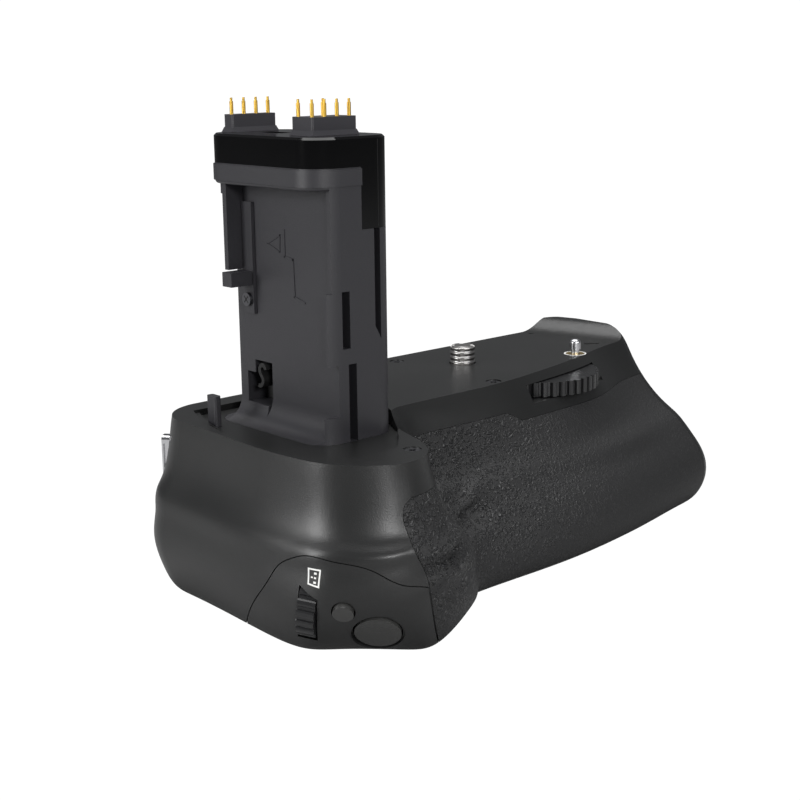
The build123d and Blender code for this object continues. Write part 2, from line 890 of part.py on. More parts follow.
with BuildPart() as dial_axle:
    with BuildSketch(dial_axis_plane):
        Circle(dial_axle_radius)
    extrude(amount=dial_axle_length / 2, both=True)
save(dial_axle, "dial_axle")

with BuildPart() as rear_button:
    sprung_button(rear_plane, rear_button_radius, rear_button_proud)
save(rear_button, "rear_button")

with BuildPart() as rear_switch:
    switch_block(rear_plane, rear_travel)
save(rear_switch, "rear_switch")

# Near shell: hand grip's end, recess round the tower and the magazine's blind end
board_x = chamber_end - chamber_wall - board_thickness - board_standoff
lug_plane = Plane(origin=skin_point(lug_aim, lug_heading), x_dir=(lug_heading[1], -lug_heading[0], 0),
                  z_dir=lug_heading)
with BuildPart() as end_shell:
    add(outer)
    add(near_region(0), mode=Mode.INTERSECT)
    add(cover_region(seam_gap), mode=Mode.SUBTRACT)
    slab(whole_x, whole_y, (-rim_drop, base_height), Mode.SUBTRACT)
    add(rubber_seat.part, mode=Mode.SUBTRACT)
    add(thumb_seat.part, mode=Mode.SUBTRACT)
    # Recess round the tower, with a ledge along its near edge and slits in the ledge
    near_edge = recess_edge(0)
    with BuildSketch(Plane.XY.offset(-recess_drop)) as recess:
        with BuildLine():
            Spline(*near_edge)
            Polyline(
                near_edge[-1], (-recess_turn, -recess_front), (-recess_side, -recess_shoulder),
                (-recess_throat, -recess_neck), (overrun - shell_partition, -recess_neck),
                (overrun - shell_partition, recess_back), (near_edge[0][0], recess_back), near_edge[0],
            )
        make_face()
        fillet([v for v in recess.vertices() if v.Y < -recess_neck + overrun and -recess_turn - overrun < v.X
                and v.X < overrun - recess_throat], recess_radius)
    extrude(amount=recess_drop + overrun, mode=Mode.SUBTRACT)
    extrude(edge_band(-recess_drop, 0, ledge_width), amount=ledge_height)
    for place, length in zip(slit_places, slit_lengths):
        with BuildSketch(Plane.XY.offset(ledge_height - recess_drop)):
            add(edge_band(0, slit_inset, slit_inset + slit_width))
            with Locations(place):
                Circle(length / 2, mode=Mode.INTERSECT)
        extrude(amount=-ledge_height - slit_depth, mode=Mode.SUBTRACT)
    # Socket for the tower's foot
    with BuildSketch(Plane.XY.offset(-tower_foot - seat_gap)):
        tower_outline(skin_gap)
    extrude(amount=tower_foot, mode=Mode.SUBTRACT)
    chamber_section(chamber_end, -shell_partition + overrun)
    button_well(rear_plane, rear_button_radius, rear_travel)
    # Pocket for the board behind the chamber
    slab((board_x - board_standoff, board_x + board_thickness + seat_gap),
         (-board_back, board_width - board_back),
         (-base_height + board_low, -base_height + board_low + board_height), Mode.SUBTRACT)
    # Slot for the standing tab, seat for the strap lug and the screws
    slab((tab_place[0] - tab_depth / 2 - seat_gap, tab_place[0] + tab_depth / 2 + seat_gap),
         (tab_place[1] - tab_width / 2 - seat_gap, tab_place[1] + tab_width / 2 + seat_gap),
         (-recess_drop - tab_root - seat_gap, -recess_drop), Mode.SUBTRACT)
    with BuildSketch(lug_plane.offset(button_mouth)):
        Rectangle(strap_lug_width + 2 * seat_gap, strap_lug_height + 2 * seat_gap)
    extrude(amount=-button_mouth - lug_root - seat_gap, mode=Mode.SUBTRACT)
    screw(shell_screw_place, -rim_drop - screw_sink, True, seat_gap, Mode.SUBTRACT)
    for place in base_screw_places:
        screw(place, screw_sink - base_height, False, seat_gap, Mode.SUBTRACT)
save(end_shell, "end_shell")

with BuildPart() as strap_lug:
    with BuildSketch(lug_plane.offset(strap_lug_proud)):
        RectangleRounded(strap_lug_width, strap_lug_height, strap_lug_corner)
    extrude(amount=-strap_lug_proud - lug_root)
    with BuildSketch(Plane(origin=lug_plane.offset(strap_lug_proud / 2).origin, z_dir=lug_plane.x_dir)):
        Rectangle(strap_lug_proud - 2 * strap_bar, strap_gap_height)
    extrude(amount=strap_lug_width, both=True, mode=Mode.SUBTRACT)
save(strap_lug, "strap_lug")

with BuildPart() as door_tab:
    slab((tab_place[0] - tab_depth / 2, tab_place[0] + tab_depth / 2),
         (tab_place[1] - tab_width / 2, tab_place[1] + tab_width / 2),
         (-recess_drop - tab_root, tab_height - recess_drop))
    fillet(door_tab.edges().filter_by(Axis.Z), tab_round)
save(door_tab, "door_tab")

with BuildPart() as main_board:
    slab((board_x, board_x + board_thickness), (skin_gap - board_back, board_width - board_back - skin_gap),
         (-base_height + board_low + seat_gap, -base_height + board_low + board_height - skin_gap))
save(main_board, "main_board")

# Upper housing: deck, thumbwheel's room and the lip at the far end
with BuildPart() as top_housing:
    add(outer)
    add(deck_air, mode=Mode.SUBTRACT)
    slab(whole_x, whole_y, (-base_height - overrun, -split_drop), Mode.SUBTRACT)
    add(near_region(seam_gap), mode=Mode.SUBTRACT)
    add(rubber_seat.part, mode=Mode.SUBTRACT)
    rod(Plane.XY.offset(overrun), screw_collar + running_gap, -overrun - deck_skin, Mode.SUBTRACT)
    rod(Plane.XY.offset(-deck_skin), screw_stud + running_gap, -split_drop, Mode.SUBTRACT)
    rod(Plane.XY.offset(-wheel_bottom), gear_module * (pinion_teeth / 2 + 1) + gear_room, -split_drop,
        Mode.SUBTRACT)
    with Locations((wheel_centre[0], wheel_centre[1], 0)):
        with Locations((0, 0, -wheel_top + wheel_room - (wheel_width + 2 * wheel_room) / 2)):
            Cylinder(wheel_radius + wheel_clearance, wheel_width + 2 * wheel_room, mode=Mode.SUBTRACT)
        with Locations((0, 0, -split_drop)):
            Cylinder(gear_module * (wheel_teeth / 2 + 1) + gear_room, 2 * (split_drop - wheel_bottom),
                     mode=Mode.SUBTRACT)
        with Locations((0, 0, -axle_top - split_drop / 2)):
            Cylinder(axle_radius + seat_gap, split_drop, mode=Mode.SUBTRACT)
    slab((wheel_centre[0] - wheel_window, wheel_centre[0] + wheel_window),
         (-front_reach, wheel_centre[1] - wheel_radius + window_depth),
         (-wheel_bottom - wheel_room, wheel_room - wheel_top), Mode.SUBTRACT)
    with BuildSketch(Plane.XY):
        with Locations(*slot_places):
            SlotOverall(slot_length, slot_width, rotation=slot_heading)
    extrude(amount=-slot_depth, mode=Mode.SUBTRACT)
    with Locations((locating_pin_place[0], locating_pin_place[1], 0)):
        Cylinder(pin_stem_radius + seat_gap, 2 * (pin_root + seat_gap), mode=Mode.SUBTRACT)
        Cylinder(washer_radius + seat_gap, 2 * (washer_thickness + 2 * seat_gap), mode=Mode.SUBTRACT)
    for place in deck_screw_places:
        screw(place, -screw_sink, True, seat_gap, Mode.SUBTRACT)
save(top_housing, "top_housing")

# Lower housing: open at the far end for the magazine
with BuildPart() as lower_housing:
    add(outer)
    slab(whole_x, whole_y, (lower_top, base_height), Mode.SUBTRACT)
    add(near_region(seam_gap), mode=Mode.SUBTRACT)
    add(rubber_seat.part, mode=Mode.SUBTRACT)
    chamber_section(-shell_partition - shell_shoulder, cap_inner)
    cap_outline(cap_inner - skin_gap, far_reach + overrun, slide_gap, Mode.SUBTRACT)
    latch_sweep(cap_inner - skin_gap, cap_inner + latch_thickness + 2 * button_gap)
    rod(Plane.XY.offset(overrun - split_drop), pivot_radius + running_gap,
        -overrun - pivot_length - gear_bottom + split_drop - button_gap, Mode.SUBTRACT)
    with Locations((wheel_centre[0], wheel_centre[1], -axle_bottom / 2)):
        Cylinder(axle_radius + seat_gap, axle_bottom + 2 * seat_gap, mode=Mode.SUBTRACT)
    # Seat for the threaded insert
    with Locations((socket_place[0], socket_place[1], -base_height)):
        Cylinder(socket_flange_radius + seat_gap, 2 * (socket_flange + seat_gap), mode=Mode.SUBTRACT)
        Cylinder(socket_radius + seat_gap, 2 * (socket_length + seat_gap), mode=Mode.SUBTRACT)
    for place in base_screw_places:
        screw(place, screw_sink - base_height, False, seat_gap, Mode.SUBTRACT)
save(lower_housing, "lower_housing")

# Threaded insert for a tripod
with BuildPart() as tripod_socket:
    socket_plane = Plane(origin=(socket_place[0], socket_place[1], -base_height))
    rod(socket_plane, socket_radius, socket_length)
    rod(socket_plane, socket_flange_radius, socket_flange)
    rod(socket_plane, socket_bore, socket_length - overrun, Mode.SUBTRACT)
save(tripod_socket, "tripod_socket")

# Attachment screw with its pinion, and the thumbwheel that turns it
with BuildPart() as attachment_screw:
    rod(Plane.XY, screw_radius, screw_standing)
    rod(Plane.XY, screw_neck, -deck_skin)
    rod(Plane.XY.offset(running_gap - deck_skin), screw_collar, deck_skin - running_gap - neck_height)
    rod(Plane.XY.offset(-deck_skin), screw_stud, deck_skin - gear_bottom)
    with BuildSketch(Plane.XY.offset(-gear_bottom)):
        with BuildLine():
            Polyline(*gear_points(pinion_teeth, wheel_turn + 180 / pinion_teeth), close=True)
        make_face()
    extrude(amount=gear_width)
    rod(Plane.XY.offset(-gear_bottom), pivot_radius, -pivot_length)
    for slot in range(screw_slots):
        with Locations(Location((0, 0, screw_standing / 2), (0, 0, slot_turn + 360 * slot / screw_slots))):
            with Locations((screw_radius, 0, 0)):
                Box(2 * screw_slot_depth, screw_slot_width, screw_standing, mode=Mode.SUBTRACT)
    chamfer(attachment_screw.edges().group_by(Axis.Z)[-1], screw_bevel)
save(attachment_screw, "attachment_screw")

with BuildPart() as attachment_wheel:
    with BuildSketch(Plane.XY.offset(-wheel_bottom).move(Location((wheel_centre[0], wheel_centre[1], 0)))):
        with BuildLine():
            Polyline(*rib_points(wheel_radius, rib_depth, wheel_ribs), close=True)
        make_face()
    extrude(amount=wheel_width)
    with BuildSketch(Plane.XY.offset(-gear_bottom).move(Location((wheel_centre[0], wheel_centre[1], 0)))):
        with BuildLine():
            Polyline(*gear_points(wheel_teeth, wheel_turn + 180), close=True)
        make_face()
    extrude(amount=gear_bottom - wheel_bottom)
    with Locations((wheel_centre[0], wheel_centre[1], -gear_bottom)):
        Cylinder(axle_radius + running_gap, 2 * gear_bottom, mode=Mode.SUBTRACT)
save(attachment_wheel, "attachment_wheel")

with BuildPart() as wheel_axle:
    with Locations((wheel_centre[0], wheel_centre[1], -(axle_top + axle_bottom) / 2)):
        Cylinder(axle_radius, axle_bottom - axle_top)
save(wheel_axle, "wheel_axle")

# Locating pin on its plate
with BuildPart() as locating_pin:
    with Locations((locating_pin_place[0], locating_pin_place[1], 0)):
        with Locations((0, 0, (locating_pin_height - pin_root) / 2)):
            Cylinder(pin_stem_radius, locating_pin_height + pin_root)
        with Locations((0, 0, locating_pin_height - pin_head_length / 2)):
            Cylinder(pin_head_radius, pin_head_length)
    fillet(locating_pin.edges().group_by(Axis.Z)[-1], pin_head_round)
save(locating_pin, "locating_pin")

with BuildPart() as pin_plate:
    with Locations((locating_pin_place[0], locating_pin_place[1], -seat_gap - washer_thickness / 2)):
        Cylinder(washer_radius, washer_thickness)
        Cylinder(pin_stem_radius + seat_gap, washer_thickness, mode=Mode.SUBTRACT)
save(pin_plate, "pin_plate")

# Screws of the deck, the near shell and the underside
with BuildPart() as deck_screws:
    for place in deck_screw_places:
        screw(place, -screw_sink, True)
save(deck_screws, "deck_screws")

with BuildPart() as end_shell_screw:
    screw(shell_screw_place, -rim_drop - screw_sink, True)
save(end_shell_screw, "end_shell_screw")

with BuildPart() as base_screws:
    for place in base_screw_places:
        screw(place, screw_sink - base_height, False)
save(base_screws, "base_screws")

# Tower's shell, with its near side set back like a battery's face
window_points = [(clip_window_back - across * clip_window_width, clip_window_top - down * clip_window_height)
                 for across, down in clip_window_shares]
with BuildPart() as tower_shell:
    with BuildSketch(Plane.XY.offset(-tower_foot)):
        tower_outline()
    extrude(amount=tower_foot + cap_bottom - seat_gap)
    flare_foot = (door_face - foot_flare, -recess_drop)
    with BuildSketch(Plane.XZ.offset(-tower_back - overrun)):
        with BuildLine():
            Line((door_face, collar_bottom), (door_face, foot_height))
            Spline((door_face, foot_height), flare_foot, tangents=((0, -1), (-1, foot_slope)))
            Polyline(flare_foot, (tower_near - overrun, -recess_drop), (tower_near - overrun, collar_bottom),
                     (door_face, collar_bottom))
        make_face()
    extrude(amount=tower_width + overrun - edge_width, mode=Mode.SUBTRACT)
    slab((tower_near - overrun, door_face - edge_upper), (tower_front - overrun, tower_front + edge_width),
         (edge_jog, collar_bottom), Mode.SUBTRACT)
    slab((tower_near - overrun, door_face - edge_lower), (tower_front - overrun, tower_front + edge_width),
         (edge_foot, edge_jog), Mode.SUBTRACT)
    slab((tower_near - overrun, door_face), (tower_front - overrun, tower_front + edge_width),
         (foot_height, edge_foot), Mode.SUBTRACT)
    slab((tower_near - overrun, tower_far + overrun), (tower_back - door_back, tower_back + overrun),
         (-recess_drop, collar_bottom), Mode.SUBTRACT)
    # Collar: rounded below, with a proud band
    collar_edges = tower_shell.edges().filter_by_position(Axis.Z, collar_bottom, collar_bottom)
    fillet([edge for edge in collar_edges if edge.center().X < tower_near + edge_width
            and edge.geom_type == GeomType.LINE], collar_round)
    with BuildSketch(Plane.XY.offset(collar_bottom + collar_lift)):
        tower_outline(collar_proud)
    extrude(amount=collar_band)
    # Wall and lug beside the set-back face
    slab((door_face - flange_reach, door_face + overrun), (flange_place, flange_place + flange_thickness),
         (flange_foot, collar_bottom + overrun))
    lug_front = flange_place + flange_thickness
    slab((door_face - lug_reach, door_face + overrun), (lug_front, lug_front + lug_thickness),
         (collar_bottom - lug_height, collar_bottom))
    # Slots and grooves of the front face
    slab((tower_near + side_slot_near, tower_near + side_slot_far),
         (tower_front - overrun, tower_front + side_slot_depth),
         (side_slot_low, side_slot_high), Mode.SUBTRACT)
    slab((tower_near + lower_groove_near, tower_near + lower_groove_far),
         (tower_front - overrun, tower_front + lower_groove_depth), (-recess_drop, edge_foot), Mode.SUBTRACT)
    groove_near = tower_near + deep_groove_near
    groove_far = tower_near + deep_groove_far
    with BuildSketch(Plane.XZ.offset(-tower_front + overrun)):
        with BuildLine():
            Polyline((groove_near, panel_bottom), (groove_near, deep_groove_low + groove_bevel),
                     (groove_far, deep_groove_low), (groove_far, panel_bottom), close=True)
        make_face()
    extrude(amount=-overrun - deep_groove_depth, mode=Mode.SUBTRACT)
    # Seat of the cap's front panel
    with BuildSketch(Plane.XY.offset(panel_bottom - seat_gap)):
        tower_outline(overrun)
        with Locations(tower_centre):
            RectangleRounded(tower_thickness - 2 * (panel_thickness + skin_gap),
                             tower_width - 2 * (panel_thickness + skin_gap),
                             tower_radius - panel_thickness - skin_gap, mode=Mode.SUBTRACT)
        with Locations((tower_far - panel_width / 2, tower_front + tower_radius / 2 - overrun)):
            Rectangle(panel_width + 2 * seat_gap, tower_radius + 2 * overrun, mode=Mode.INTERSECT)
    extrude(amount=cap_bottom - panel_bottom, mode=Mode.SUBTRACT)
    # Window for the spring clip, screw hole and the board's pocket
    with BuildSketch(Plane.YZ.offset(door_face - foot_flare - overrun)):
        with BuildLine():
            Polyline(*window_points, close=True)
        make_face()
    extrude(amount=foot_flare + overrun + clip_window_depth, mode=Mode.SUBTRACT)
    with BuildSketch(Plane.YZ.offset(door_face - overrun)):
        with Locations((strip_middle, strip_low + strip_notch)):
            Circle(screw_shank_radius + seat_gap)
    extrude(amount=overrun + tower_screw_length, mode=Mode.SUBTRACT)
    with BuildSketch(Plane.XY.offset(cap_bottom - board_thickness - seat_gap - skin_gap)):
        with Locations(tower_centre):
            Rectangle(tower_thickness - 2 * board_inset, tower_width - 2 * board_inset)
    extrude(amount=board_thickness + overrun, mode=Mode.SUBTRACT)
save(tower_shell, "tower_shell")

with BuildPart() as contact_board:
    with BuildSketch(Plane.XY.offset(cap_bottom - board_thickness - skin_gap)):
        with Locations(tower_centre):
            Rectangle(tower_thickness - 2 * (board_inset + skin_gap),
                      tower_width - 2 * (board_inset + skin_gap))
    extrude(amount=board_thickness)
save(contact_board, "contact_board")

# Contact blocks' places and the pins in their rows
block_middle = tower_near + block_inset + block_length / 2
first_pin = block_middle - (power_pins - 1) * pin_pitch / 2
power_line = power_block_front + power_block_width / 2
signal_line = signal_block_front + signal_front_inset
power_row = [(first_pin + pin_pitch * place, power_line) for place in range(power_pins)]
signal_row = [(first_pin + pin_pitch * place, signal_line) for place in range(signal_pins)]
signal_row += [(first_pin + 2 * pin_pitch * place, signal_line + signal_row_gap)
               for place in range(rear_signal_pins)]
pin_bottom = tower_height + block_height - pin_buried


def contact_block(front, width):
    """Block that carries a row of contact pins, with a sloping foot."""
    middle = front + width / 2
    foot_angle = degrees(atan2(block_flange, flange_height))
    with BuildSketch(Plane.XY.offset(tower_height + seat_gap)) as outline:
        with Locations((block_middle, middle)):
            Rectangle(block_length + 2 * block_flange, width + 2 * block_flange)
    extrude(outline.sketch, amount=flange_height, taper=foot_angle)
    with BuildSketch(Plane.XY.offset(tower_height + flange_height)) as outline:
        with Locations((block_middle, middle)):
            RectangleRounded(block_length, width, pin_radius)
    extrude(outline.sketch, amount=block_height - flange_height)


def pin_holes(places):
    """Running holes for the contact pins, deep enough for their travel."""
    with BuildSketch(Plane.XY.offset(pin_bottom - pin_travel - button_gap)) as outline:
        with Locations(*places):
            Circle(pin_radius + running_gap)
    extrude(outline.sketch, amount=pin_buried + pin_travel + overrun, mode=Mode.SUBTRACT)


# Cap of the tower, with the glossy panel that runs down the front
with BuildPart() as tower_cap:
    with BuildSketch(Plane.XY.offset(cap_bottom)):
        tower_outline()
    extrude(amount=cap_height)
    chamfer(tower_cap.edges().group_by(Axis.Z)[-1], cap_bevel)
    with BuildSketch(Plane.XY.offset(panel_bottom)):
        tower_outline()
        with Locations(tower_centre):
            RectangleRounded(tower_thickness - 2 * panel_thickness, tower_width - 2 * panel_thickness,
                             tower_radius - panel_thickness, mode=Mode.SUBTRACT)
        with Locations((tower_far - panel_width / 2, tower_front + tower_radius / 2 - overrun)):
            Rectangle(panel_width, tower_radius + 2 * overrun, mode=Mode.INTERSECT)
    extrude(amount=cap_bottom - panel_bottom + cap_height - cap_bevel)
    slab((block_middle - cap_pocket_width / 2, block_middle + cap_pocket_width / 2),
         (-cap_pocket_length, 0), (tower_height - cap_pocket_depth, tower_height + overrun), Mode.SUBTRACT)
    pin_holes(power_row)
    pin_holes(signal_row)
save(tower_cap, "tower_cap")

with BuildPart() as power_contact_block:
    contact_block(power_block_front, power_block_width)
    pin_holes(power_row)
save(power_contact_block, "power_contact_block")

with BuildPart() as signal_contact_block:
    contact_block(signal_block_front, signal_block_width)
    pin_holes(signal_row)
save(signal_contact_block, "signal_contact_block")

for row_name, places in (("power_pin", power_row), ("signal_pin", signal_row)):
    for number, place in enumerate(places):
        with BuildPart() as contact_pin:
            with BuildSketch(Plane.XY.offset(pin_bottom)):
                with Locations(place):
                    Circle(pin_radius)
            extrude(amount=pin_buried + pin_standing - pin_tip_length)
            with BuildSketch(Plane.XY.offset(pin_bottom)):
                with Locations(place):
                    Circle(pin_tip_radius)
            extrude(amount=pin_buried + pin_standing)
        save(contact_pin, f"{row_name}_{number + 1}")

# Guide strip with its arm, and its screw
with BuildPart() as guide_strip:
    slab((door_face - seat_gap - strip_thickness, door_face - seat_gap),
         (strip_middle - strip_width / 2, strip_middle + strip_width / 2), (strip_low, strip_high))
    strip_back = strip_middle + strip_width / 2
    slab((door_face - arm_reach, door_face - seat_gap), (strip_back - arm_width, strip_back),
         (flange_foot - arm_height - seam_gap, flange_foot - seam_gap))
    with BuildSketch(Plane.YZ.offset(door_face)):
        with Locations((strip_middle, strip_low + strip_notch)):
            Circle(screw_shank_radius + seat_gap)
    extrude(amount=-overrun, mode=Mode.SUBTRACT)
save(guide_strip, "guide_strip")

with BuildPart() as tower_screw:
    with BuildSketch(Plane.YZ.offset(door_face - strip_thickness - 2 * seat_gap)):
        with Locations((strip_middle, strip_low + strip_notch)):
            Circle(tower_screw_head)
    extrude(amount=-tower_screw_head / 2)
    with BuildSketch(Plane.YZ.offset(door_face - strip_thickness - 2 * seat_gap)):
        with Locations((strip_middle, strip_low + strip_notch)):
            Circle(screw_shank_radius)
    extrude(amount=strip_thickness + tower_screw_length)
save(tower_screw, "tower_screw")

# Spring clip in the tower's window: a plate at its back and a curled hook
hook_back = clip_window_back - hook_inset
hook_top = clip_window_top - clip_plate
hook_points = [(hook_back - across * hook_width, hook_top - down * hook_height)
               for across, down in hook_shares]
with BuildPart() as door_clip:
    clip_inner = door_face + clip_window_depth - seat_gap
    with BuildSketch(Plane.YZ.offset(clip_inner - clip_plate)):
        with BuildLine():
            Polyline(*window_points, close=True)
        make_face()
        offset(amount=-skin_gap, kind=Kind.INTERSECTION)
    extrude(amount=clip_plate)
    with BuildSketch(Plane.YZ.offset(door_face - hook_proud)):
        with BuildLine():
            hook_line = Spline(*hook_points)
        trace(hook_line, line_width=clip_plate)
    extrude(amount=hook_proud + clip_window_depth - clip_plate)
save(door_clip, "door_clip")

# Magazine's tray for two batteries
floor_top = -tray_drop + tray_floor
with BuildPart() as magazine_tray:
    slab((tray_near, tray_far), (tray_front, tray_back),
         (-tray_drop, floor_top + battery_height - chamber_room))
    for bay in range(2):
        low = tray_near + tray_near_wall + bay * (battery_length + tray_divider)
        slab((low, low + battery_length), (tray_front + tray_side, tray_back - tray_side),
             (floor_top, 0), Mode.SUBTRACT)
        # Side walls end lower and have finger cut-outs
        slab((low, low + battery_length), (tray_front - overrun, tray_back + overrun),
             (floor_top + tray_side_height, 0), Mode.SUBTRACT)
        slab((low + battery_length / 2 - finger_cut, low + battery_length / 2 + finger_cut),
             (tray_front - overrun, tray_back + overrun), (floor_top + finger_floor, 0), Mode.SUBTRACT)
    top_edges = magazine_tray.edges().filter_by(Axis.X).group_by(Axis.Z)[-1]
    chamfer([edge for edge in top_edges if edge.center().Y < tray_front + slide_gap], chamber_bevel)
save(magazine_tray, "magazine_tray")

# Magazine's cap, which closes the far end
with BuildPart() as magazine_cap:
    add(outer)
    cap_outline(cap_inner, far_reach + overrun, 0, Mode.INTERSECT)
    latch_sweep(cap_inner - overrun, cap_inner + latch_thickness + 2 * skin_gap)
    with BuildSketch(Plane.YZ.offset(far_reach - knob_recess)):
        with Locations(knob_place):
            Circle(knob_radius + seam_gap)
    extrude(amount=knob_recess + overrun, mode=Mode.SUBTRACT)
    with BuildSketch(Plane.YZ.offset(cap_inner)):
        with Locations(knob_place):
            Circle(spindle_radius + running_gap)
    extrude(amount=cap_face, mode=Mode.SUBTRACT)
save(magazine_cap, "magazine_cap")

# Knob, spindle and latch that turn together
with BuildPart() as release_knob:
    with BuildSketch(Plane.YZ.offset(far_reach - knob_recess + skin_gap)):
        with Locations(knob_place):
            Circle(knob_radius)
    extrude(amount=knob_disc)
    with BuildSketch(Plane.YZ.offset(far_reach - knob_recess + knob_disc)):
        with Locations(knob_place):
            SlotOverall(knob_bar_length, knob_bar)
    extrude(amount=knob_recess - knob_disc)
    with BuildSketch(Plane.YZ.offset(cap_inner + skin_gap)):
        with Locations(knob_place):
            Circle(spindle_radius)
    extrude(amount=cap_face - knob_recess)
    with BuildSketch(Plane.YZ.offset(cap_inner + skin_gap)):
        with Locations(knob_place):
            with Locations((latch_reach / 2 - latch_width / 4, 0)):
                SlotOverall(latch_reach + latch_width / 2, latch_width)
    extrude(amount=latch_thickness)
save(release_knob, "release_knob")


def blades(places, thickness):
    """Row of contact blades on a face across X, at each place along X."""
    for place in places:
        for blade in range(contact_blades):
            across = knob_place[0] + blade_pitch * (blade - (contact_blades - 1) / 2)
            slab((place, place + thickness), (across - blade_width / 2, across + blade_width / 2),
                 (floor_top + blade_low, floor_top + blade_low + blade_height))


# Contact blades on the magazine and at the chamber's end
with BuildPart() as magazine_contacts:
    bay_walls = (tray_near + tray_near_wall + seat_gap,
                 tray_near + tray_near_wall + battery_length + tray_divider + seat_gap)
    blades((tray_near - seat_gap - blade_thickness,) + bay_walls, blade_thickness)
save(magazine_contacts, "magazine_contacts")

with BuildPart() as battery_contacts:
    blades((chamber_end + seat_gap,), blade_thickness)
save(battery_contacts, "battery_contacts")
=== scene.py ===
import math

import bmesh
import bpy
from mathutils import Matrix, Vector
from mathutils.bvhtree import BVHTree


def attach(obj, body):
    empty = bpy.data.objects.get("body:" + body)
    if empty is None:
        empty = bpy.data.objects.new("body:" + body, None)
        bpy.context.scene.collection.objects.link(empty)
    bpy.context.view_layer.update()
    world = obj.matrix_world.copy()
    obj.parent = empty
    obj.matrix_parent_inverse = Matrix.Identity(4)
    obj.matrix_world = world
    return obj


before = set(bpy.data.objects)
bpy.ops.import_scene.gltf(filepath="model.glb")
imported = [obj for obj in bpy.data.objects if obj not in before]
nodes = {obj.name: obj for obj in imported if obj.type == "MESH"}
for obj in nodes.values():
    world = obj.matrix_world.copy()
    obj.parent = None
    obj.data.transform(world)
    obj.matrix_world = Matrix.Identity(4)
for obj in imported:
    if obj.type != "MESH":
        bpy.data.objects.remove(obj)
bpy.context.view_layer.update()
scene = bpy.context.scene
MM = 0.001


# Materials

BROAD_SCALE = 40.0          # patches of worn colour, per metre
FINE_SCALE = 4000.0         # moulded texture, per metre
ROUGHNESS_SPREAD = 0.08
GRAIN_SCALE = 520.0         # the rubber's crooked ridges
GRAIN_CRACK_SCALE = 760.0   # the furrows that break them up
GRAIN_DUST_SCALE = 2600.0
GRAIN_DUST_SHARE = 0.16
GRAIN_DEPTH = 0.48 * MM
THREAD_PITCH = 1.27 * MM
THREAD_DEPTH = 0.18 * MM
CAP_SPECULAR_LEVEL = 0.32
PLASTIC, METAL = 0.0, 1.0   # values of Metallic


def add_node(tree, kind, values=(), **settings):
    """Adds a node with its settings and the constant values of its inputs."""
    node = tree.nodes.new(kind)
    for key, value in settings.items():
        setattr(node, key, value)
    for key, value in dict(values).items():
        node.inputs[key].default_value = value
    return node


def add_range(tree, from_min, from_max, to_min, to_max, **settings):
    """Adds a Map Range node."""
    values = {"From Min": from_min, "From Max": from_max, "To Min": to_min, "To Max": to_max}
    return add_node(tree, "ShaderNodeMapRange", values, **settings)


def join(tree, *pairs):
    """Links outputs to inputs."""
    for source, target in pairs:
        tree.links.new(source, target)


def effect_group(name, inputs, outputs):
    """Node group with named inputs and outputs, and the two nodes that hold them."""
    group = bpy.data.node_groups.new(name, "ShaderNodeTree")
    for socket_name, kind, value in inputs:
        socket = group.interface.new_socket(name=socket_name, in_out="INPUT", socket_type=kind)
        if value is not None:
            socket.default_value = value
    for socket_name, kind in outputs:
        group.interface.new_socket(name=socket_name, in_out="OUTPUT", socket_type=kind)
    return group, group.nodes.new("NodeGroupInput"), group.nodes.new("NodeGroupOutput")


def moulded_group():
    """Effect for moulded and turned surfaces: two noises vary the colour and roughness and give a fine height."""
    group, source, result = effect_group("moulded_effect", (
        ("Place", "NodeSocketVector", None),
        ("Colour", "NodeSocketColor", (0.05, 0.05, 0.05, 1)),
        ("Worn Colour", "NodeSocketColor", (0.07, 0.07, 0.07, 1)),
        ("Roughness", "NodeSocketFloat", 0.5),
        ("Spread", "NodeSocketFloat", ROUGHNESS_SPREAD),
        ("Fine Scale", "NodeSocketFloat", FINE_SCALE),
        ("Broad Scale", "NodeSocketFloat", BROAD_SCALE),
    ), (("Colour", "NodeSocketColor"), ("Roughness", "NodeSocketFloat"), ("Height", "NodeSocketFloat")))
    fine = add_node(group, "ShaderNodeTexNoise", {"Detail": 3.0})
    broad = add_node(group, "ShaderNodeTexNoise", {"Detail": 2.0})
    tint = add_node(group, "ShaderNodeMix", data_type="RGBA")
    centred = add_node(group, "ShaderNodeMath", {1: 0.5}, operation="SUBTRACT")
    spread = add_node(group, "ShaderNodeMath", operation="MULTIPLY_ADD")
    join(group,
         (source.outputs["Place"], fine.inputs["Vector"]),
         (source.outputs["Place"], broad.inputs["Vector"]),
         (source.outputs["Fine Scale"], fine.inputs["Scale"]),
         (source.outputs["Broad Scale"], broad.inputs["Scale"]),
         (broad.outputs["Fac"], tint.inputs["Factor"]),
         (source.outputs["Colour"], tint.inputs["A"]),
         (source.outputs["Worn Colour"], tint.inputs["B"]),
         (broad.outputs["Fac"], centred.inputs[0]),
         (centred.outputs[0], spread.inputs[0]),
         (source.outputs["Spread"], spread.inputs[1]),
         (source.outputs["Roughness"], spread.inputs[2]),
         (tint.outputs["Result"], result.inputs["Colour"]),
         (spread.outputs[0], result.inputs["Roughness"]),
         (fine.outputs["Fac"], result.inputs["Height"]))
    return group


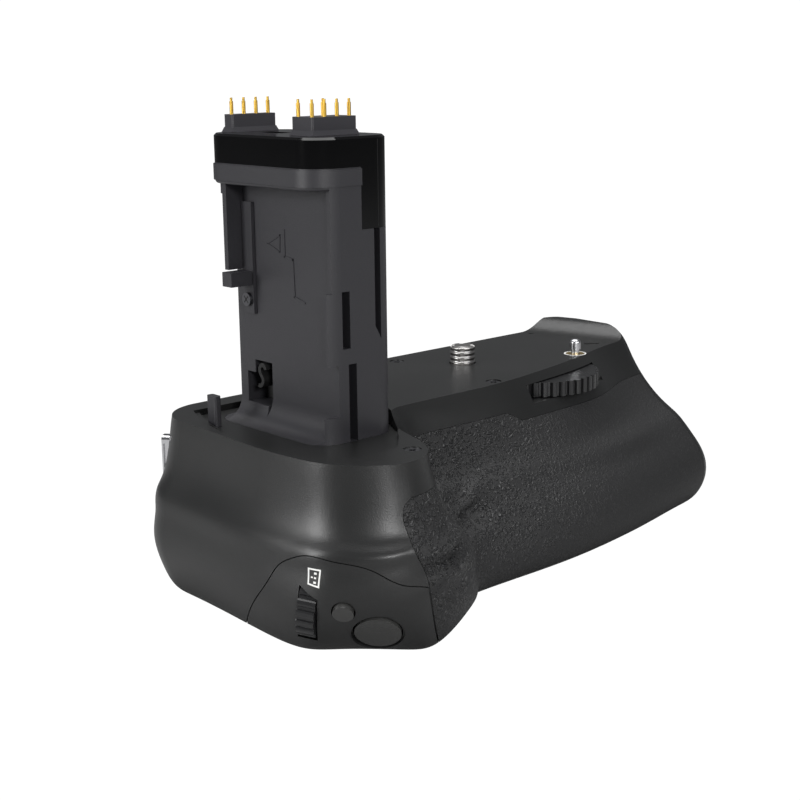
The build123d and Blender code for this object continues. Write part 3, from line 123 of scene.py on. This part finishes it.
def grain_group():
    """Grain of the rubber: short crooked ridges that fade towards the magazine's end and the underside."""
    group, source, result = effect_group("rubber_grain", (
        ("Place", "NodeSocketVector", None),
    ), (("Height", "NodeSocketFloat"), ("Roughness", "NodeSocketFloat"), ("Colour", "NodeSocketColor")))
    bend = add_node(group, "ShaderNodeTexNoise", {"Scale": GRAIN_SCALE, "Detail": 2.0, "Distortion": 1.9})
    ridge = add_range(group, 0.44, 0.55, 0.0, 1.0, interpolation_type="SMOOTHSTEP")
    cells = add_node(group, "ShaderNodeTexVoronoi", {"Scale": GRAIN_CRACK_SCALE}, feature="DISTANCE_TO_EDGE")
    furrow = add_range(group, 0.0, 0.22, 0.0, 1.0, interpolation_type="SMOOTHSTEP")
    pattern = add_node(group, "ShaderNodeMath", operation="MULTIPLY")
    parts = add_node(group, "ShaderNodeSeparateXYZ")
    end_fade = add_range(group, -46 * MM, 22 * MM, 1.0, 0.10, interpolation_type="SMOOTHSTEP")
    low_fade = add_range(group, -40 * MM, -22 * MM, 0.25, 1.0, interpolation_type="SMOOTHSTEP")
    fade = add_node(group, "ShaderNodeMath", operation="MULTIPLY")
    height = add_node(group, "ShaderNodeMath", operation="MULTIPLY")
    dust = add_node(group, "ShaderNodeTexNoise", {"Scale": GRAIN_DUST_SCALE})
    add_dust = add_node(group, "ShaderNodeMath", {1: GRAIN_DUST_SHARE}, operation="MULTIPLY_ADD")
    rough = add_range(group, 0.0, 1.0, 0.62, 0.31)
    tint = add_node(group, "ShaderNodeMix", data_type="RGBA")
    tint.inputs["A"].default_value = (0.0065, 0.0065, 0.007, 1)
    tint.inputs["B"].default_value = (0.017, 0.017, 0.018, 1)
    join(group,
         (source.outputs["Place"], bend.inputs["Vector"]),
         (source.outputs["Place"], cells.inputs["Vector"]),
         (source.outputs["Place"], dust.inputs["Vector"]),
         (source.outputs["Place"], parts.inputs["Vector"]),
         (bend.outputs["Fac"], ridge.inputs["Value"]),
         (cells.outputs["Distance"], furrow.inputs["Value"]),
         (ridge.outputs["Result"], pattern.inputs[0]),
         (furrow.outputs["Result"], pattern.inputs[1]),
         (parts.outputs["X"], end_fade.inputs["Value"]),
         (parts.outputs["Z"], low_fade.inputs["Value"]),
         (end_fade.outputs["Result"], fade.inputs[0]),
         (low_fade.outputs["Result"], fade.inputs[1]),
         (pattern.outputs[0], height.inputs[0]),
         (fade.outputs[0], height.inputs[1]),
         (dust.outputs["Fac"], add_dust.inputs[0]),
         (height.outputs[0], add_dust.inputs[2]),
         (height.outputs[0], rough.inputs["Value"]),
         (height.outputs[0], tint.inputs["Factor"]),
         (add_dust.outputs[0], result.inputs["Height"]),
         (rough.outputs["Result"], result.inputs["Roughness"]),
         (tint.outputs["Result"], result.inputs["Colour"]))
    return group


def effect_material(name, group, depth):
    """Material whose colour, roughness and bump come from an effect group, with the group's node."""
    material = bpy.data.materials.new(name)
    material.use_nodes = True
    tree = material.node_tree
    shader = tree.nodes["Principled BSDF"]
    place = add_node(tree, "ShaderNodeTexCoord")
    effect = add_node(tree, "ShaderNodeGroup", node_tree=group)
    bumps = add_node(tree, "ShaderNodeBump", {"Distance": depth, "Strength": 1.0})
    join(tree,
         (place.outputs["Object"], effect.inputs["Place"]),
         (effect.outputs["Colour"], shader.inputs["Base Color"]),
         (effect.outputs["Roughness"], shader.inputs["Roughness"]),
         (effect.outputs["Height"], bumps.inputs["Height"]),
         (bumps.outputs["Normal"], shader.inputs["Normal"]))
    return material, effect


moulded = moulded_group()


def moulded_material(name, colour, worn, rough, depth, metallic):
    """Material with a little variation of colour and roughness and a fine moulded texture."""
    material, effect = effect_material(name, moulded, depth)
    effect.inputs["Colour"].default_value = (*colour, 1)
    effect.inputs["Worn Colour"].default_value = (*worn, 1)
    effect.inputs["Roughness"].default_value = rough
    material.node_tree.nodes["Principled BSDF"].inputs["Metallic"].default_value = metallic
    return material


def cut_thread(material):
    """Gives a material rings round the Z axis in place of its fine texture, for a thread."""
    tree = material.node_tree
    parts = add_node(tree, "ShaderNodeSeparateXYZ")
    turns = add_node(tree, "ShaderNodeMath", {1: 2 * math.pi / THREAD_PITCH}, operation="MULTIPLY")
    wave = add_node(tree, "ShaderNodeMath", operation="SINE")
    join(tree,
         (tree.nodes["Texture Coordinate"].outputs["Object"], parts.inputs["Vector"]),
         (parts.outputs["Z"], turns.inputs[0]),
         (turns.outputs[0], wave.inputs[0]),
         (wave.outputs[0], tree.nodes["Bump"].inputs["Height"]))


# Name, colour, worn colour, roughness, depth of the fine texture, and Metallic
FINISHES = {
    "body": ("body_plastic", (0.0075, 0.0077, 0.0077), (0.0112, 0.0114, 0.0114), 0.36, 0.03 * MM, PLASTIC),
    "tower": ("tower_plastic", (0.018, 0.0175, 0.021), (0.023, 0.0225, 0.026), 0.46, 0.03 * MM, PLASTIC),
    "cap": ("cap_plastic", (0.0018, 0.0018, 0.002), (0.0026, 0.0026, 0.0028), 0.10, 0.004 * MM, PLASTIC),
    "block": ("block_plastic", (0.022, 0.021, 0.026), (0.029, 0.028, 0.033), 0.42, 0.02 * MM, PLASTIC),
    "control": ("control_plastic", (0.009, 0.009, 0.0095), (0.014, 0.014, 0.015), 0.28, 0.01 * MM, PLASTIC),
    "button": ("button_plastic", (0.030, 0.030, 0.029), (0.038, 0.038, 0.037), 0.26, 0.006 * MM, PLASTIC),
    "steel": ("turned_steel", (0.62, 0.62, 0.63), (0.50, 0.50, 0.52), 0.26, 0.006 * MM, METAL),
    "thread": ("threaded_steel", (0.52, 0.51, 0.50), (0.40, 0.39, 0.38), 0.30, THREAD_DEPTH, METAL),
    "screw": ("screw_steel", (0.10, 0.10, 0.11), (0.16, 0.16, 0.17), 0.34, 0.006 * MM, METAL),
    "chrome": ("chromed_lug", (0.78, 0.78, 0.79), (0.66, 0.66, 0.68), 0.14, 0.002 * MM, METAL),
    "gold": ("gilded_pin", (0.95, 0.62, 0.12), (0.85, 0.52, 0.09), 0.30, 0.003 * MM, METAL),
    "brass": ("brass_plate", (0.70, 0.52, 0.20), (0.58, 0.42, 0.16), 0.30, 0.004 * MM, METAL),
    "board": ("green_board", (0.010, 0.060, 0.025), (0.014, 0.080, 0.034), 0.36, 0.01 * MM, PLASTIC),
    "white": ("white_print", (0.78, 0.78, 0.76), (0.68, 0.68, 0.66), 0.50, 0.01 * MM, PLASTIC),
    # near black for the door clip, and painted shade for the screw's cross and the cap panel's seam
    "dark": ("black_and_painted_shade", (0.0010, 0.0010, 0.0012), (0.0016, 0.0016, 0.0018), 0.60, 0.01 * MM, PLASTIC),
}
finish = {key: moulded_material(*values) for key, values in FINISHES.items()}
finish["rubber"] = effect_material("grained_rubber", grain_group(), GRAIN_DEPTH)[0]
cap_shader = finish["cap"].node_tree.nodes["Principled BSDF"]
cap_shader.inputs["Specular IOR Level"].default_value = CAP_SPECULAR_LEVEL
cut_thread(finish["thread"])

NODES_OF_FINISH = {
    "body": ("lower_housing", "top_housing", "end_shell", "control_cover", "magazine_tray", "magazine_cap"),
    "rubber": ("front_grip_rubber", "thumb_rubber"),
    "tower": ("tower_shell", "guide_strip", "door_tab"),
    "cap": ("tower_cap",),
    "block": ("power_contact_block", "signal_contact_block"),
    "dark": ("door_clip",),
    "control": ("attachment_wheel", "control_dial", "release_knob", "shutter_switch", "function_switch",
                "rear_switch"),
    "button": ("shutter_button", "function_button", "rear_button"),
    "steel": ("wheel_axle", "dial_axle", "locating_pin", "tripod_socket"),
    "screw": ("tower_screw", "deck_screws", "end_shell_screw", "base_screws"),
    "thread": ("attachment_screw",),
    "chrome": ("strap_lug",),
    "brass": ("pin_plate",),
    "board": ("contact_board", "main_board"),
}
finish_of_node = {name: key for key, names in NODES_OF_FINISH.items() for name in names}
for name, node in nodes.items():
    node.data.materials.clear()
    node.data.materials.append(finish[finish_of_node.get(name, "gold")])  # the pins and contacts are gilded


# Camera at the photograph's angle

PICTURE_PIXELS = 800
FOCAL_PIXELS = 1449.96
SENSOR_WIDTH = 36.0
AZIMUTH, ELEVATION, ROLL = math.radians(-41.92), math.radians(13.39), math.radians(-0.68)
DISTANCE, LEFTWARD, DOWNWARD = 375.31 * MM, 16.28 * MM, 9.51 * MM  # of the camera from the part's origin
NEAR_CLIP, FAR_CLIP = 0.01, 20.0

ahead = Vector((-math.sin(AZIMUTH) * math.cos(ELEVATION),
                math.cos(AZIMUTH) * math.cos(ELEVATION),
                -math.sin(ELEVATION)))
right = Vector((math.cos(AZIMUTH), math.sin(AZIMUTH), 0))
upward = right.cross(ahead)
eye = -ahead * DISTANCE - right * LEFTWARD - upward * DOWNWARD
turned_right = math.cos(ROLL) * right + math.sin(ROLL) * upward
turned_up = -math.sin(ROLL) * right + math.cos(ROLL) * upward
camera_data = bpy.data.cameras.new("photo_camera")
camera_data.sensor_width = SENSOR_WIDTH
camera_data.lens = FOCAL_PIXELS / PICTURE_PIXELS * SENSOR_WIDTH
camera_data.clip_start = NEAR_CLIP
camera_data.clip_end = FAR_CLIP
camera = bpy.data.objects.new("photo_camera", camera_data)
scene.collection.objects.link(camera)
turned = Matrix((turned_right, turned_up, -ahead)).transposed().to_4x4()
camera.matrix_world = Matrix.Translation(eye) @ turned
scene.camera = camera


# Small marks, and painted shade in seams, laid on the CAD pieces. Places and sizes in this section are in
# millimetres.

SUNK = 0.02                 # how deep a bar reaches into the face that carries it
END_OVERLAP_SHARE = 0.9     # of a bar's width, added to its length so that bars meet at corners
BAR_LENGTH = 0.9            # of the bars that follow a curved skin
RING_STEPS = 64


def finished_piece(name, shape, look):
    """Turns a built shape into a piece of the fixed body."""
    mesh = bpy.data.meshes.new(name)
    shape.to_mesh(mesh)
    shape.free()
    mesh.materials.append(finish[look])
    piece = bpy.data.objects.new(name, mesh)
    scene.collection.objects.link(piece)
    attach(piece, "grip")


def bar(shape, start, end, width, normal, proud):
    """Bar between two points on a face, which stands a little proud of it."""
    along = (end - start).normalized()
    normal = (normal - normal.dot(along) * along).normalized()
    middle = (start + end) / 2 + normal * (proud - SUNK) / 2
    turned = Matrix((along, normal.cross(along), normal)).transposed().to_4x4()
    size = Matrix.Diagonal(((end - start).length + width * END_OVERLAP_SHARE, width, proud + SUNK, 1))
    place = Matrix.Scale(MM, 4) @ Matrix.Translation(middle) @ turned @ size
    bmesh.ops.create_cube(shape, size=1.0, matrix=place)


def skin_of(name):
    """Search tree over a CAD piece's faces."""
    node = nodes[name]
    points = [node.matrix_world @ v.co / MM for v in node.data.vertices]
    return BVHTree.FromPolygons(points, [tuple(f.vertices) for f in node.data.polygons])


def laid_line(shape, skin, points, width, proud):
    """Line of short bars that follows a curved skin through some points."""
    places = []
    for start, end in zip(points, points[1:]):
        count = max(1, round((end - start).length / BAR_LENGTH))
        places += [start.lerp(end, k / count) for k in range(count)]
    places.append(points[-1])
    on_skin = [skin.find_nearest(place) for place in places]
    for first, second in zip(on_skin, on_skin[1:]):
        bar(shape, first[0], second[0], width, first[1] + second[1], proud)


def ring(shape, middle, inner, outer, low, high):
    """Flat ring round an upright axis."""
    corners = [(inner, low), (outer, low), (outer, high), (inner, high)]
    verts = [shape.verts.new(((middle[0] + r) * MM, middle[1] * MM, z * MM)) for r, z in corners]
    edges = [shape.edges.new((verts[k - 1], verts[k])) for k in range(len(verts))]
    bmesh.ops.spin(shape, geom=verts + edges, cent=(middle[0] * MM, middle[1] * MM, 0), axis=(0, 0, 1),
                   angle=2 * math.pi, steps=RING_STEPS, use_merge=True)
    bmesh.ops.recalc_face_normals(shape, faces=shape.faces)


def seen_at(skin, u, v):
    """Point of a skin that the camera sees at a place of the picture, in pixels."""
    across = (u - PICTURE_PIXELS / 2) / FOCAL_PIXELS
    up = (PICTURE_PIXELS / 2 - v) / FOCAL_PIXELS
    way = ahead + across * turned_right + up * turned_up
    return skin.ray_cast(eye / MM, way.normalized())[0]


# Printed pictogram on the control cover: a frame with dots
PRINT_WIDTH, PRINT_PROUD = 0.34, 0.03
FRAME_PIXELS = ((308.6, 568.4), (320.2, 570.6), (318.4, 587.4), (308.2, 583.6))
DOTS = ((0.62, 0.24, 0.42), (0.62, 0.52, 0.34), (0.62, 0.80, 0.42), (0.32, 0.52, 0.30))  # shares of the frame, width
HALF_DOT_SHARE = 0.3
cover_skin = skin_of("control_cover")
frame_corners = [seen_at(cover_skin, u, v) for u, v in FRAME_PIXELS]
print_shape = bmesh.new()
laid_line(print_shape, cover_skin, frame_corners + frame_corners[:1], PRINT_WIDTH, PRINT_PROUD)
for across, down, width in DOTS:
    top = frame_corners[0].lerp(frame_corners[1], across)
    low = frame_corners[3].lerp(frame_corners[2], across)
    spot, outward = cover_skin.find_nearest(top.lerp(low, down))[:2]
    half_dot = outward.cross(Vector((0, 0, 1))).normalized() * width * HALF_DOT_SHARE
    bar(print_shape, spot - half_dot, spot + half_dot, width, outward, PRINT_PROUD)
finished_piece("printed_pictogram", print_shape, "white")

# Moulded marks on the tower's set-back face: Y and Z of their corners
FACE_X = -66.4
LEFTWARDS = Vector((-1, 0, 0))
MARK_PROUD = 0.16
TRIANGLE = ((-6.8, 37.7), (-11.2, 39.9), (-11.0, 36.2), (-6.8, 37.7))
STEPPED_LINE = ((-12.7, 41.1), (-12.8, 35.3), (-15.6, 34.9), (-15.9, 26.8), (-19.35, 25.9))
marks = bmesh.new()
for course, width in ((TRIANGLE, 0.28), (STEPPED_LINE, 0.4)):
    corners = [Vector((FACE_X, y, z)) for y, z in course]
    for start, end in zip(corners, corners[1:]):
        bar(marks, start, end, width, LEFTWARDS, MARK_PROUD)
finished_piece("tower_marks", marks, "tower")

# Painted shade: dark bars in the cross of the small screw's head, and along the seam on the cap's front panel
SCREW_MIDDLE = Vector((-68.01, -0.1, 24.7))
SCREW_REACH = 0.62
SEAM_ENDS = [Vector((-54.6, -30.6, 42.4)), Vector((-54.6, -30.6, 60.6))]
shade_lines = bmesh.new()
for reach in (Vector((0, SCREW_REACH, SCREW_REACH)), Vector((0, SCREW_REACH, -SCREW_REACH))):
    bar(shade_lines, SCREW_MIDDLE - reach, SCREW_MIDDLE + reach, width=0.34, normal=LEFTWARDS, proud=0.02)
laid_line(shade_lines, skin_of("tower_cap"), SEAM_ENDS, width=0.14, proud=0.012)
finished_piece("painted_shade_lines", shade_lines, "dark")

# Pale ring round the locating pin's plate
pale = bmesh.new()
ring(pale, middle=(29.3, -12.8), inner=2.56, outer=2.95, low=-0.02, high=0.03)
finished_piece("pin_ring", pale, "white")


# Floor and light

FLOOR_SIZE, FLOOR_HEIGHT = 6.0, -42.5 * MM
FLOOR_GREY = 0.38
ROOM_COLOUR, ROOM_STRENGTH = (0.9, 0.92, 0.95, 1), 0.13
WHITE, WHITE_STRENGTH = (1, 1, 1, 1), 1.05
# Name, place, point that it faces, width and height, and power
LIGHTS = (
    ("ceiling_light", (0.05, 0.1, 0.75), (0, 0, 0), (0.8, 0.8), 8.5),
    ("left_light", (-0.80, 0.20, 0.28), (-0.05, -0.02, 0.0), (0.30, 0.45), 5.0),
    ("corner_light", (-0.40, -0.80, 0.30), (-0.07, -0.05, -0.01), (0.16, 0.16), 3.6),
    ("front_light", (0.1, -0.8, 0.35), (0.0, 0.0, 0.0), (0.5, 0.22), 2.4),
)


def white_to_camera(tree, kind, usual, surface):
    """Shows the camera plain white, and the usual shader to all other rays."""
    white = add_node(tree, kind, {"Color": WHITE, "Strength": WHITE_STRENGTH})
    path = add_node(tree, "ShaderNodeLightPath")
    choose = add_node(tree, "ShaderNodeMixShader")
    join(tree,
         (path.outputs["Is Camera Ray"], choose.inputs["Fac"]),
         (usual.outputs[0], choose.inputs[1]),
         (white.outputs[0], choose.inputs[2]),
         (choose.outputs[0], surface))


floor_material = bpy.data.materials.new("white_floor")
floor_material.use_nodes = True
tree = floor_material.node_tree
floor_shader = tree.nodes["Principled BSDF"]
floor_shader.inputs["Base Color"].default_value = (FLOOR_GREY, FLOOR_GREY, FLOOR_GREY, 1)
white_to_camera(tree, "ShaderNodeEmission", floor_shader, tree.nodes["Material Output"].inputs["Surface"])

sheet = bmesh.new()
bmesh.ops.create_grid(sheet, x_segments=1, y_segments=1, size=FLOOR_SIZE / 2)
floor_mesh = bpy.data.meshes.new("floor")
sheet.to_mesh(floor_mesh)
sheet.free()
floor_mesh.materials.append(floor_material)
floor = bpy.data.objects.new("floor", floor_mesh)
scene.collection.objects.link(floor)
floor.location.z = FLOOR_HEIGHT

world = bpy.data.worlds.new("soft_room")
scene.world = world
world.use_nodes = True
room = world.node_tree.nodes["Background"]
room.inputs["Color"].default_value = ROOM_COLOUR
room.inputs["Strength"].default_value = ROOM_STRENGTH
world_surface = world.node_tree.nodes["World Output"].inputs["Surface"]
white_to_camera(world.node_tree, "ShaderNodeBackground", room, world_surface)

for name, place, aim, size, power in LIGHTS:
    data = bpy.data.lights.new(name, "AREA")
    data.shape = "RECTANGLE"
    data.size, data.size_y = size
    data.energy = power
    light = bpy.data.objects.new(name, data)
    scene.collection.objects.link(light)
    light.location = place
    light.rotation_mode = "QUATERNION"
    light.rotation_quaternion = (Vector(aim) - Vector(place)).to_track_quat("-Z", "Y")

scene.view_settings.view_transform = "Standard"
